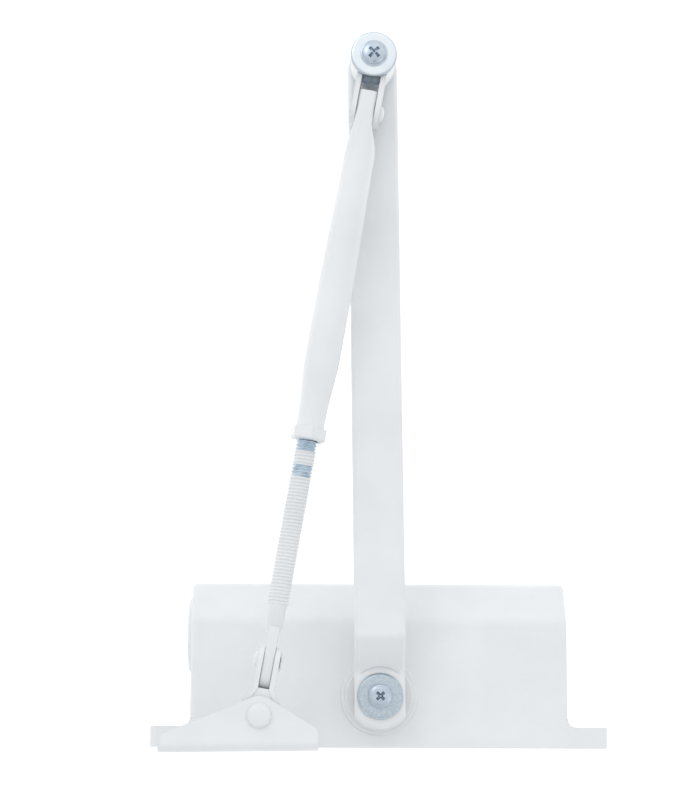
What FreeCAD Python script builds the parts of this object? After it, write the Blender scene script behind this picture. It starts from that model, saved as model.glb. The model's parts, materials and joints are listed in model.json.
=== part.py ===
import FreeCAD, Part
import math
import os

import Sketcher

# Surface-mounted door closer with a folding arm, in millimetres.
# Frame: the mounting face is the plane y = 0 and faces +Y, the body runs along X, and the spindle
# turns about a vertical axis, +Z. The origin is the centre of the four mounting holes.
# The folding arm is fastened to the spindle's upper end and points to -Y, away from the door.

Vector = FreeCAD.Vector
Rotation = FreeCAD.Rotation
Placement = FreeCAD.Placement

os.makedirs("parts", exist_ok=True)
doc = FreeCAD.newDocument("door_closer")
sheet = doc.addObject("Spreadsheet::Sheet", "sizes")

SIZES = {
    # housing
    "body_length": 142, "body_depth": 62, "body_height": 40,
    "slope_start": 47.6, "nose_height": 20, "slope_round": 6, "nose_round": 3, "end_round": 1.8,
    "overall_length": 172, "ear_thick": 7.8, "ear_corner": 3, "ear_root": 3, "ear_edge": 0.8,
    "hole_spacing_x": 160, "hole_spacing_z": 19, "hole_radius": 3.25,
    "boss_radius": 14.5, "boss_rise": 0.9, "boss_edge": 0.5,
    "cylinder_depth": 42.5, "cylinder_radius": 15, "cylinder_wall": 7,
    "spindle_depth": 19, "chamber_radius": 13,
    "valve_depth": 18, "valve_offset": 9, "valve_radius": 3.05, "valve_length": 20,
    # rack and pinion
    "tooth_module": 1.75, "tooth_count": 13, "tooth_addendum": 1.2, "tooth_dedendum": 1.5,
    "pressure_angle": 20, "backlash": 0.3, "gear_width": 18,
    "journal_radius": 8, "journal_top": 25, "square_side": 11, "square_top": 29.8,
    "screw_hole_depth": 16,
    # bearings, seals and ring nuts on the spindle
    "running_gap": 0.05, "bearing_low": 11.6, "bearing_high": 16, "seal_high": 18,
    "nut_high": 21.9, "nut_bore": 8.4, "nut_edge": 0.7, "pin_hole": 1.2, "pin_circle": 10.6,
    "cap_radius": 11.4, "cap_wall": 1.2, "cap_drop": 31.5,
    # piston, check valve and spring
    "piston_radius": 14.93, "piston_left": -60, "piston_right": 17,
    "rack_left": -48.5, "rack_right": 10.8, "rack_gaps": 10,
    "pocket_radius": 9.6, "pocket_bottom": -28, "seal_width": 3, "seal_root": 12.8,
    "check_bore": 2.5, "check_seat": 1.4, "check_ball_radius": 2.2, "check_ball_rest": 1.75,
    "spring_mean": 7.7, "spring_wire": 3.2, "spring_pitch": 7.6,
    "seat_thick": 2, "seat_radius": 13.5, "spigot_radius": 5.6, "spigot_length": 4,
    "plug_length": 11, "plug_rise": 1.6, "plug_hex": 10, "plug_hex_depth": 5,
    # main arm
    "arm_length": 238, "arm_width": 19, "arm_thick": 5, "arm_low": 25, "arm_high": 35,
    "crank_start": 8.7, "crank_end": 21.5, "arm_tail": 12.2, "arm_edge": 1.7,
    "spotface_radius": 10.9, "crank_round": 4,
    "screw_radius": 3, "spindle_washer_radius": 8.6, "spindle_washer_thick": 1.6,
    "elbow_washer_radius": 8.7, "elbow_washer_thick": 2.5, "washer_edge": 0.7,
    # elbow
    "bush_flange": 7.3, "bush_radius": 6, "bush_flange_high": 42, "bush_high": 56.8,
    "strip_thick": 2, "loop_gap": 0.3, "yoke_low": 42.4, "yoke_high": 56.4,
    "rivet_distance": 20, "leg_length": 25.2, "leg_corner": 5.5,
    "rivet_radius": 2, "rivet_head": 3, "rivet_dome": 1.6, "rivet_gap": 0.06,
    "rivet_stub": 0.25, "low_head": 3.3, "low_head_lift": 0.3, "low_head_rise": 0.7,
    "elbow_gap": 7, "elbow_leg_shift": 0.5,
    # forearm
    "rod_high": 49.4, "rod_shift": 1.29, "tube_start": 13.4, "tube_end": 142.2, "tube_radius": 6.5,
    "tip_half": 3.4, "tip_high_half": 6.9, "flat_end": 24.8, "spread_length": 12, "spread_half": 5.65,
    "round_length": 60, "neck_start": 115.7, "neck_length": 22, "neck_depth": 1.25,
    "tube_bore": 4.08, "tube_bore_start": 58,
    "nut_thick": 4.95, "nut_flats": 11.75, "nut_turn": -12,
    "rod_radius": 4, "rod_start": 100, "thread_end": 209.4, "rod_plain": 3.35, "rod_flat_start": 216.6,
    "rod_neck_end": 219.2, "rod_neck_taper": 2.2,
    "rod_flat_end": 238.9, "rod_flat_thick": 3.8, "rod_flat_height": 11.4,
    "rod_flat_corner": 4.5, "rod_flat_shift": 0.6,
    "forearm_length": 248.9, "shoe_axis_shift": 2.18,
    # shoe
    "shoe_gap": 4, "spacer_gap": 0.03, "shoe_yoke_low": 42.9, "shoe_yoke_high": 55.9, "spacer_reach": 9.7,
    "plate_low": 56.4, "plate_thick": 3, "apex_radius": 7.1,
    "shoe_left": 35.4, "shoe_right": 21, "flange_left": 36.2, "flange_right": 20.8,
    "flange_out": 12.6, "flange_low": 41, "shoe_end_left": 6.3, "shoe_end_right": 4.9,
    "bend_round": 3.2, "shoe_corner": 1.6,
    "shoe_hole_spacing": 44, "shoe_hole_radius": 2.75, "shoe_hole_x": 7.7, "shoe_hole_high": 49,
    "pivot_radius": 3, "pivot_head": 4.4, "pivot_dome": 2, "pivot_foot": 5,
}
# Rest angles, in degrees about +Z: the main arm leans from -Y towards +X, the forearm comes back
# from the elbow between +Y and +X, and the shoe's base stands almost along X.
MAIN_ARM_LEAN = 0.89
FOREARM_LEAN = 9.85
SHOE_TURN = 0.78
# How far from its pivot's axis each yoke's strip bends.
ELBOW_BEND = 6.7
SHOE_BEND = 9.8
EVERY_PART = []


class Size:
    """A length that knows both its value and the spreadsheet expression it comes from."""

    def __init__(self, value, text):
        self.value = float(value)
        self.text = text

    def __add__(self, other):
        other = as_size(other)
        return Size(self.value + other.value, f"({self.text} + {other.text})")

    def __sub__(self, other):
        other = as_size(other)
        return Size(self.value - other.value, f"({self.text} - {other.text})")

    def __mul__(self, other):
        other = as_size(other)
        return Size(self.value * other.value, f"({self.text} * {other.text})")

    def __truediv__(self, other):
        other = as_size(other)
        return Size(self.value / other.value, f"({self.text} / {other.text})")

    def __neg__(self):
        return Size(-self.value, f"(0 - {self.text})")


def as_size(number):
    """A plain number as a Size, and a Size unchanged."""
    return number if isinstance(number, Size) else Size(number, repr(float(number)))


def fill_sheet():
    """Write every driving dimension into the sheet, one row each, with its name as the alias."""
    for row, (name, value) in enumerate(SIZES.items(), start=1):
        sheet.set(f"A{row}", name)
        sheet.set(f"B{row}", str(value))
        sheet.setAlias(f"B{row}", name)
    doc.recompute()


def size(name):
    """A driving dimension, by its alias in the sheet."""
    return Size(SIZES[name], f"sizes.{name}")


def bind(obj, prop, amount):
    """Bind a property to the sheet."""
    obj.setExpression(prop, as_size(amount).text)


def new_body(label):
    """A PartDesign body whose label names its file."""
    body = doc.addObject("PartDesign::Body", label)
    body.Label = label
    EVERY_PART.append(body)
    return body


def add_sketch(body, name, plane, offset=0):
    """A sketch on one of the body's own origin planes, moved along the plane's normal by offset."""
    sketch = body.newObject("Sketcher::SketchObject", f"{body.Name}_{name}")
    support = [item for item in body.Origin.OriginFeatures if item.Role == plane][0]
    sketch.AttachmentSupport = [(support, "")]
    sketch.MapMode = "FlatFace"
    bind(sketch, ".AttachmentOffset.Base.z", offset)
    return sketch


def pin_point(sketch, edge, end, x, y):
    """Tie an end (1 start, 2 end, 3 centre) of an edge to the sheet by its two coordinates."""
    for kind, amount, axis in (("DistanceX", x, -2), ("DistanceY", y, -1)):
        amount = as_size(amount)
        if abs(amount.value) < 1e-9:
            sketch.addConstraint(Sketcher.Constraint("PointOnObject", edge, end, axis))
        else:
            added = sketch.addConstraint(Sketcher.Constraint(kind, -1, 1, edge, end, amount.value))
            sketch.setExpression(f"Constraints[{added}]", amount.text)


def draw_polygon(sketch, points):
    """A closed polygon whose corners are all tied to the sheet."""
    corners = [Vector(as_size(x).value, as_size(y).value, 0) for x, y in points]
    first = None
    for index, corner in enumerate(corners):
        edge = sketch.addGeometry(Part.LineSegment(corner, corners[(index + 1) % len(corners)]))
        first = edge if first is None else first
    for index, (x, y) in enumerate(points):
        before = first + (index - 1) % len(points)
        sketch.addConstraint(Sketcher.Constraint("Coincident", before, 2, first + index, 1))
        pin_point(sketch, first + index, 1, x, y)


def draw_circle(sketch, radius, x=0, y=0):
    """A circle whose radius and centre are tied to the sheet."""
    radius, x, y = as_size(radius), as_size(x), as_size(y)
    circle = Part.Circle(Vector(x.value, y.value, 0), Vector(0, 0, 1), radius.value)
    edge = sketch.addGeometry(circle)
    added = sketch.addConstraint(Sketcher.Constraint("Radius", edge, radius.value))
    sketch.setExpression(f"Constraints[{added}]", radius.text)
    pin_point(sketch, edge, 3, x, y)


def draw_rectangle(sketch, left, right, low, high):
    """A rectangle given by its four sides."""
    draw_polygon(sketch, [(left, low), (right, low), (right, high), (left, high)])


def draw_hexagon(sketch, flats, turn=0, x=0, y=0):
    """A hexagon across flats, turned by an angle in degrees."""
    radius = as_size(flats) / math.sqrt(3)
    corners = []
    for step in range(6):
        angle = math.radians(60 * step + turn)
        corners.append((radius * math.cos(angle) + x, radius * math.sin(angle) + y))
    draw_polygon(sketch, corners)


def add_pad(body, sketch, length, midplane=False, reverse=False):
    """Pad a sketch along its normal."""
    pad = body.newObject("PartDesign::Pad", f"{sketch.Name}_pad")
    pad.Profile = sketch
    bind(pad, "Length", length)
    pad.Midplane = midplane
    pad.Reversed = reverse
    doc.recompute()
    return pad


def add_pocket(body, sketch, length, midplane=False, reverse=False):
    """Cut a sketch into the body against its normal, and make sure that it cut something."""
    before = body.Shape.Volume
    pocket = body.newObject("PartDesign::Pocket", f"{sketch.Name}_cut")
    pocket.Profile = sketch
    bind(pocket, "Length", length)
    pocket.Midplane = midplane
    pocket.Reversed = reverse
    doc.recompute()
    if body.Shape.Volume >= before - 1e-6:
        raise RuntimeError(f"{pocket.Name} cut nothing")
    return pocket


def add_turned(body, name, points, axis="V_Axis"):
    """A turned solid from (radius, height) points, about the body's own Z."""
    sketch = add_sketch(body, name, "XZ_Plane")
    draw_polygon(sketch, points)
    turned = body.newObject("PartDesign::Revolution", f"{sketch.Name}_turned")
    turned.Profile = sketch
    turned.ReferenceAxis = (sketch, [axis])
    turned.Angle = 360
    doc.recompute()
    return turned


def edge_names(shape, test):
    """The names of a shape's edges whose middle point and direction pass a test."""
    names = []
    for number, edge in enumerate(shape.Edges, start=1):
        middle = edge.valueAt((edge.FirstParameter + edge.LastParameter) / 2)
        span = edge.valueAt(edge.LastParameter) - edge.valueAt(edge.FirstParameter)
        if test(middle, span):
            names.append(f"Edge{number}")
    return names


def add_rounding(body, kind, amount, test):
    """Fillet or chamfer the edges of the body's tip that pass a test."""
    base = body.Tip
    names = edge_names(base.Shape, test)
    if not names:
        raise RuntimeError(f"{body.Name} has no edge to work on")
    feature = body.newObject(f"PartDesign::{kind}", f"{body.Name}_{kind}")
    feature.Base = (base, names)
    bind(feature, "Radius" if kind == "Fillet" else "Size", amount)
    doc.recompute()
    if "Invalid" in feature.State:
        raise RuntimeError(f"{feature.Name} failed")
    return feature


def place(body, x=0.0, y=0.0, z=0.0, rotation=None):
    """Put a finished body in the assembly."""
    body.Placement = Placement(Vector(x, y, z), rotation or Rotation())
    doc.recompute()


def near(first, second, within=0.01):
    """Whether two numbers are the same to within a small gap."""
    return abs(first - second) < within


ALONG_X = Rotation(Vector(0, 1, 0), 90)
fill_sheet()


def main_arm_frame():
    """The main arm's own frame: X from the spindle to the elbow, Z up."""
    rotation = Rotation(Vector(0, 0, 1), MAIN_ARM_LEAN - 90)
    return Placement(Vector(0, -SIZES["spindle_depth"], 0), rotation)


def elbow_frame():
    """The forearm's own frame: the elbow's axis, with X from the elbow to the shoe."""
    elbow = main_arm_frame().multVec(Vector(SIZES["arm_length"], 0, 0))
    return Placement(elbow, Rotation(Vector(0, 0, 1), 90 - FOREARM_LEAN))


def shoe_frame():
    """The shoe's own frame: its pivot axis, with X along its base and Y out of the base."""
    pivot = elbow_frame().multVec(Vector(SIZES["forearm_length"], SIZES["shoe_axis_shift"], 0))
    return Placement(pivot, Rotation(Vector(0, 0, 1), SHOE_TURN))


def place_in(body, frame, offset=None, rotation=None):
    """Put a body at an offset and turn within one of the frames above."""
    inner = Placement(offset or Vector(), rotation or Rotation())
    body.Placement = frame.multiply(inner)
    doc.recompute()


# ---------------------------------------------------------------- housing


def ear_plan(sketch):
    """Both ears from above, with a hollow root against the body and a softened outer edge."""
    reach, wall = SIZES["overall_length"] / 2, SIZES["body_length"] / 2
    front, root, edge = -SIZES["ear_thick"], SIZES["ear_root"], SIZES["ear_edge"]
    hollow, soft = root * (1 - math.sqrt(0.5)), edge * (1 - math.sqrt(0.5))
    half = [Vector(reach, 0, 0), Vector(reach, front + edge, 0)]
    half += [Vector(reach - soft, front + soft, 0), Vector(reach - edge, front, 0)]
    half += [Vector(wall + root, front, 0), Vector(wall + hollow, front - hollow, 0)]
    half += [Vector(wall, front - root, 0)]
    other = [Vector(-point.x, point.y, 0) for point in half]
    for side in (half, other):
        sketch.addGeometry(Part.LineSegment(side[0], side[1]))
        sketch.addGeometry(Part.Arc(side[1], side[2], side[3]))
        sketch.addGeometry(Part.LineSegment(side[3], side[4]))
        sketch.addGeometry(Part.Arc(side[4], side[5], side[6]))
    sketch.addGeometry(Part.LineSegment(half[0], other[0]))
    sketch.addGeometry(Part.LineSegment(half[6], other[6]))


def cut_corners(sketch):
    """The four corners that the ears' round ends leave, seen from the front."""
    reach, half, radius = SIZES["overall_length"] / 2, SIZES["body_height"] / 2, SIZES["ear_corner"]
    inset = radius * (1 - math.sqrt(0.5))
    for right in (-1, 1):
        for up in (-1, 1):
            corner = Vector(reach * right, half * up, 0)
            beside = corner - Vector(radius * right, 0, 0)
            below = corner - Vector(0, radius * up, 0)
            middle = corner - Vector(inset * right, inset * up, 0)
            sketch.addGeometry(Part.LineSegment(beside, corner))
            sketch.addGeometry(Part.LineSegment(corner, below))
            sketch.addGeometry(Part.Arc(below, middle, beside))


def make_housing():
    """The die-cast housing: sloped nose, two mounting ears, the cylinder and the spindle bore."""
    body = new_body("housing")
    half = size("body_height") / 2
    nose = size("nose_height") / 2
    depth, slope = size("body_depth"), size("slope_start")
    section = add_sketch(body, "section", "YZ_Plane")
    outline = [(0, -half), (0, half), (-slope, half), (-depth, nose), (-depth, -nose), (-slope, -half)]
    draw_polygon(section, outline)
    add_pad(body, section, size("body_length"), midplane=True)

    def slope_edge(middle, span):
        return abs(span.x) > 100 and near(middle.y, -SIZES["slope_start"])

    def nose_edge(middle, span):
        return abs(span.x) > 100 and near(middle.y, -SIZES["body_depth"])

    def end_edge(middle, span):
        return near(abs(middle.x), SIZES["body_length"] / 2) and middle.y < -0.5

    add_rounding(body, "Fillet", size("slope_round"), slope_edge)
    add_rounding(body, "Fillet", size("nose_round"), nose_edge)
    add_rounding(body, "Fillet", size("end_round"), end_edge)

    ears = add_sketch(body, "ears", "XY_Plane")
    ear_plan(ears)
    add_pad(body, ears, size("body_height"), midplane=True)
    corners = add_sketch(body, "corners", "XZ_Plane")
    cut_corners(corners)
    add_pocket(body, corners, size("ear_thick") * 4, midplane=True)

    boss = add_sketch(body, "boss", "XY_Plane")
    draw_circle(boss, size("boss_radius"), 0, -size("spindle_depth"))
    boss_height = size("body_height") + size("boss_rise") * 2
    add_pad(body, boss, boss_height, midplane=True)
    top = SIZES["body_height"] / 2 + SIZES["boss_rise"]
    add_rounding(body, "Fillet", size("boss_edge"), lambda middle, span: near(abs(middle.z), top))

    chamber = add_sketch(body, "chamber", "XY_Plane")
    draw_circle(chamber, size("chamber_radius"), 0, -size("spindle_depth"))
    add_pocket(body, chamber, boss_height + 2, midplane=True)

    cylinder = add_sketch(body, "cylinder", "YZ_Plane", size("body_length") / 2)
    draw_circle(cylinder, size("cylinder_radius"), -size("cylinder_depth"), 0)
    add_pocket(body, cylinder, size("body_length") - size("cylinder_wall"))

    valves = add_sketch(body, "valves", "YZ_Plane", -size("body_length") / 2)
    for side in (-1, 1):
        draw_circle(valves, size("valve_radius"), -size("valve_depth"), size("valve_offset") * side)
    add_pocket(body, valves, size("valve_length"), reverse=True)

    holes = add_sketch(body, "holes", "XZ_Plane")
    for across in (-0.5, 0.5):
        for up in (-0.5, 0.5):
            x, z = size("hole_spacing_x") * across, size("hole_spacing_z") * up
            draw_circle(holes, size("hole_radius"), x, z)
    add_pocket(body, holes, size("ear_thick") * 3, midplane=True)
    return body


def make_end_plug():
    """The threaded plug that closes the cylinder at +X, with a hexagon socket in its face."""
    body = new_body("end_plug")
    radius, inner = size("cylinder_radius"), size("body_length") / 2 - size("plug_length")
    outer, rise = size("body_length") / 2, size("plug_rise")
    groove_low, groove_high = inner + 2.5, inner + 4.5
    groove = radius - 1.7
    points = [(0, inner), (radius, inner), (radius, groove_low), (groove, groove_low)]
    points += [(groove, groove_high), (radius, groove_high), (radius, outer)]
    points += [(radius - rise * 0.25, outer + rise * 0.55), (radius - rise, outer + rise), (0, outer + rise)]
    add_turned(body, "profile", points)
    socket = add_sketch(body, "socket", "XY_Plane", outer + rise)
    draw_hexagon(socket, size("plug_hex"))
    add_pocket(body, socket, size("plug_hex_depth"))
    place(body, y=-SIZES["cylinder_depth"], rotation=ALONG_X)


def make_ring(label, inner, outer, low, high, depth, along_x=False):
    """A plain ring, about the spindle's axis or the cylinder's."""
    body = new_body(label)
    add_turned(body, "profile", [(inner, low), (outer, low), (outer, high), (inner, high)])
    place(body, y=-depth, rotation=ALONG_X if along_x else None)


def make_spring_seat():
    """The steel disc that centres the spring on the end plug."""
    body = new_body("spring_seat")
    face = size("body_length") / 2 - size("plug_length")
    low, tip = face - size("seat_thick"), face - size("seat_thick") - size("spigot_length")
    spigot, disc = size("spigot_radius"), size("seat_radius")
    points = [(0, tip), (spigot, tip), (spigot, low), (disc, low), (disc, face), (0, face)]
    add_turned(body, "profile", points)
    place(body, y=-SIZES["cylinder_depth"], rotation=ALONG_X)


def make_spindle_ends():
    """The bearing, seal and ring nut at each end of the spindle."""
    bore = size("journal_radius") + size("running_gap")
    wall, depth = size("chamber_radius"), SIZES["spindle_depth"]
    for name, sign in (("upper", 1), ("lower", -1)):
        levels = [size("bearing_low") * sign, size("bearing_high") * sign, size("seal_high") * sign]
        make_ring(f"{name}_bearing", bore, wall, levels[0], levels[1], depth)
        make_ring(f"{name}_shaft_seal", bore, wall - 0.6, levels[1], levels[2], depth)
        make_seal_nut(f"{name}_seal_nut", sign)


def make_seal_nut(label, sign):
    """A ring nut that holds the seal in, with two holes for a pin spanner."""
    body = new_body(label)
    low, high, edge = size("seal_high"), size("nut_high"), size("nut_edge")
    bore, wall = size("nut_bore"), size("chamber_radius")
    points = [(bore, low), (wall, low), (wall, high - edge), (wall - edge, high), (bore, high)]
    add_turned(body, "profile", points)
    pins = add_sketch(body, "pins", "XY_Plane", high)
    for side in (-1, 1):
        draw_circle(pins, size("pin_hole"), 0, size("pin_circle") * side)
    add_pocket(body, pins, 2)
    turn = Rotation() if sign > 0 else Rotation(Vector(0, 1, 0), 180)
    place(body, y=-SIZES["spindle_depth"], rotation=turn)


def make_lower_cap():
    """The plastic cap over the spindle's lower end, which takes the arm when the closer is turned over."""
    body = new_body("lower_cap")
    outer, wall, rim = size("cap_radius"), size("cap_wall"), -size("nut_high")
    drop = -size("cap_drop")
    points = [(0, drop), (outer - 1, drop), (outer, drop + 1), (outer, rim)]
    points += [(outer - wall, rim), (outer - wall, drop + wall), (0, drop + wall)]
    add_turned(body, "profile", points)
    place(body, y=-SIZES["spindle_depth"])


def make_valve(label, side):
    """A slotted regulating screw in the -X end, with its groove for a seal."""
    body = new_body(label)
    radius = size("valve_radius") - size("running_gap")
    groove, tip = radius - 0.8, size("valve_length") - 1
    points = [(0, 0.5), (radius, 0.5), (radius, 5), (groove, 5), (groove, 6.6), (radius, 6.6)]
    points += [(radius, tip - 6), (radius * 0.5, tip - 4), (radius * 0.3, tip), (0, tip)]
    add_turned(body, "profile", points)
    slot = add_sketch(body, "slot", "XY_Plane", 0.5)
    draw_rectangle(slot, -radius - 1, radius + 1, -0.5, 0.5)
    add_pocket(body, slot, 1.4, reverse=True)
    end, level = -SIZES["body_length"] / 2, SIZES["valve_offset"] * side
    place(body, end, -SIZES["valve_depth"], level, ALONG_X)
    ring = new_body(f"{label}_seal")
    add_turned(ring, "profile", [(groove, 5), (radius, 5), (radius, 6.6), (groove, 6.6)])
    place(ring, end, -SIZES["valve_depth"], level, ALONG_X)


# ---------------------------------------------------------------- piston side


def make_piston():
    """The piston: a head at each end, a rack between them and a pocket for the spring."""
    body = new_body("piston")
    radius, left, right = size("piston_radius"), size("piston_left"), size("piston_right")
    pocket, floor = size("pocket_radius"), size("pocket_bottom")
    seal_left, root = left + 5, size("seal_root")
    seal_right = seal_left + size("seal_width")
    points = [(0, left), (radius, left), (radius, seal_left), (root, seal_left), (root, seal_right)]
    points += [(radius, seal_right), (radius, right), (pocket, right), (pocket, floor), (0, floor)]
    add_turned(body, "profile", points)

    centre_gap = size("spindle_depth") - size("cylinder_depth")
    pitch_radius = size("tooth_module") * size("tooth_count") / 2
    pitch_line = -centre_gap - pitch_radius
    tip_line, root_line = pitch_line + size("tooth_addendum"), pitch_line - size("tooth_dedendum")
    flat = add_sketch(body, "flat", "YZ_Plane")
    draw_rectangle(flat, tip_line, radius + 2, size("rack_left"), size("rack_right"))
    add_pocket(body, flat, radius * 3, midplane=True)

    lean = math.tan(math.radians(SIZES["pressure_angle"]))
    half = size("tooth_module") * (math.pi / 4) + size("backlash") / 2
    mouth, foot = half + size("tooth_addendum") * lean, half - size("tooth_dedendum") * lean
    gap = add_sketch(body, "gap", "YZ_Plane")
    first = pitch_radius * math.radians(MAIN_ARM_LEAN) - size("tooth_module") * (math.pi * 8)
    outline = [(tip_line + 0.5, first - mouth), (tip_line, first - mouth), (root_line, first - foot)]
    outline += [(root_line, first + foot), (tip_line, first + mouth), (tip_line + 0.5, first + mouth)]
    draw_polygon(gap, outline)
    cut = add_pocket(body, gap, radius * 3, midplane=True)
    row = body.newObject("PartDesign::LinearPattern", "piston_rack")
    row.Originals = [cut]
    row.Direction = (gap, ["V_Axis"])
    bind(row, "Occurrences", size("rack_gaps"))
    bind(row, "Length", size("tooth_module") * math.pi * (size("rack_gaps") - 1))
    body.Tip = row
    doc.recompute()

    seat = add_sketch(body, "seat", "XY_Plane", left)
    draw_circle(seat, size("check_seat"))
    add_pocket(body, seat, floor - left, reverse=True)
    chamber = add_sketch(body, "check", "XY_Plane", floor)
    draw_circle(chamber, size("check_bore"))
    add_pocket(body, chamber, 12)
    place(body, y=-SIZES["cylinder_depth"], rotation=ALONG_X)


def make_check_valve():
    """The ball that lets oil through while the door is opened, and the plug that keeps it in."""
    seat = SIZES["pocket_bottom"] - 12
    ball = doc.addObject("Part::Sphere", "check_ball")
    ball.Label = "check_ball"
    bind(ball, "Radius", size("check_ball_radius"))
    ball.Placement.Base = Vector(seat + SIZES["check_ball_rest"], -SIZES["cylinder_depth"], 0)
    EVERY_PART.append(ball)
    make_ring("check_retainer", as_size(1.2), size("check_bore"), size("pocket_bottom") - 4,
              size("pocket_bottom"), SIZES["cylinder_depth"], along_x=True)


def make_spring():
    """The compression spring between the piston's pocket and its seat on the end plug."""
    body = new_body("return_spring")
    wire = size("spring_wire") / 2
    low = size("pocket_bottom") + wire
    sketch = add_sketch(body, "wire", "XZ_Plane")
    draw_circle(sketch, wire, size("spring_mean"), low)
    coil = body.newObject("PartDesign::AdditiveHelix", "spring_coil")
    coil.Profile = sketch
    coil.ReferenceAxis = (sketch, ["V_Axis"])
    coil.Mode = 0
    seat_face = size("body_length") / 2 - size("plug_length") - size("seat_thick")
    bind(coil, "Pitch", size("spring_pitch"))
    bind(coil, "Height", seat_face - wire - low)
    place(body, y=-SIZES["cylinder_depth"], rotation=ALONG_X)


# ---------------------------------------------------------------- spindle and main arm


def involute_point(base, radius, turn):
    """The point of an involute at a radius, with the involute's start turned by an angle."""
    roll = math.sqrt((radius / base) ** 2 - 1)
    angle = turn + roll - math.atan(roll)
    return Vector(radius * math.cos(angle), radius * math.sin(angle), 0)


def tooth_outline():
    """One gear tooth about +X: two involute flanks, a tip arc and straight feet inside the root."""
    pitch = SIZES["tooth_module"] * SIZES["tooth_count"] / 2
    pressure = math.radians(SIZES["pressure_angle"])
    base, tip = pitch * math.cos(pressure), pitch + SIZES["tooth_addendum"]
    root = pitch - SIZES["tooth_dedendum"] - 0.5
    half_tooth = math.pi / 2 / SIZES["tooth_count"]
    start = -half_tooth - (math.tan(pressure) - pressure)
    radii = [base + (tip - base) * step / 4 for step in range(5)]
    lower = [involute_point(base, radius, start) for radius in radii]
    upper = [Vector(point.x, -point.y, 0) for point in lower]
    foot = root / base
    lower_foot = lower[0] * foot
    upper_foot = upper[0] * foot
    flanks = []
    for points in (lower, upper):
        curve = Part.BSplineCurve()
        curve.interpolate(points)
        flanks.append(curve)
    tip_arc = Part.Arc(lower[-1], Vector(tip, 0, 0), upper[-1])
    feet = [Part.LineSegment(lower_foot, lower[0]), Part.LineSegment(upper[0], upper_foot)]
    return [feet[0], flanks[0], tip_arc, flanks[1], feet[1], Part.LineSegment(upper_foot, lower_foot)]


def make_pinion_shaft():
    """The spindle: a pinion between two journals, with a square at each end for the arm."""
    body = new_body("pinion_shaft")
    journal, top = size("journal_radius"), size("journal_top")
    half_gear = size("gear_width") / 2
    root = size("tooth_module") * size("tooth_count") / 2 - size("tooth_dedendum")
    points = [(0, -top), (journal, -top), (journal, -half_gear), (root, -half_gear)]
    points += [(root, half_gear), (journal, half_gear), (journal, top), (0, top)]
    add_turned(body, "profile", points)
    tooth = add_sketch(body, "tooth", "XY_Plane")
    tooth.addGeometry(tooth_outline())
    pad = add_pad(body, tooth, size("gear_width"), midplane=True)
    ring = body.newObject("PartDesign::PolarPattern", "pinion_teeth")
    ring.Originals = [pad]
    ring.Axis = (tooth, ["N_Axis"])
    ring.Angle = 360
    bind(ring, "Occurrences", size("tooth_count"))
    body.Tip = ring
    doc.recompute()
    half, end = size("square_side") / 2, size("square_top")
    for name, side, downward in (("upper", 1, False), ("lower", -1, True)):
        square = add_sketch(body, f"{name}_square", "XY_Plane", top * side)
        draw_rectangle(square, -half, half, -half, half)
        add_pad(body, square, end - top, reverse=downward)
        thread = add_sketch(body, f"{name}_thread", "XY_Plane", end * side)
        draw_circle(thread, size("screw_radius"))
        add_pocket(body, thread, size("screw_hole_depth"), reverse=downward)
    place_in(body, main_arm_frame())


def arm_plan(sketch):
    """The main arm seen from above: straight sides, a round elbow end and a shallow round tail."""
    half, length, tail = SIZES["arm_width"] / 2, SIZES["arm_length"], SIZES["arm_tail"]
    shoulder = -math.sqrt(tail ** 2 - half ** 2)
    left, right = Vector(shoulder, half, 0), Vector(length, half, 0)
    lower_left, lower_right = Vector(shoulder, -half, 0), Vector(length, -half, 0)
    sketch.addGeometry(Part.LineSegment(left, right))
    sketch.addGeometry(Part.Arc(right, Vector(length + half, 0, 0), lower_right))
    sketch.addGeometry(Part.LineSegment(lower_right, lower_left))
    sketch.addGeometry(Part.Arc(lower_left, Vector(-tail, 0, 0), left))


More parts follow.
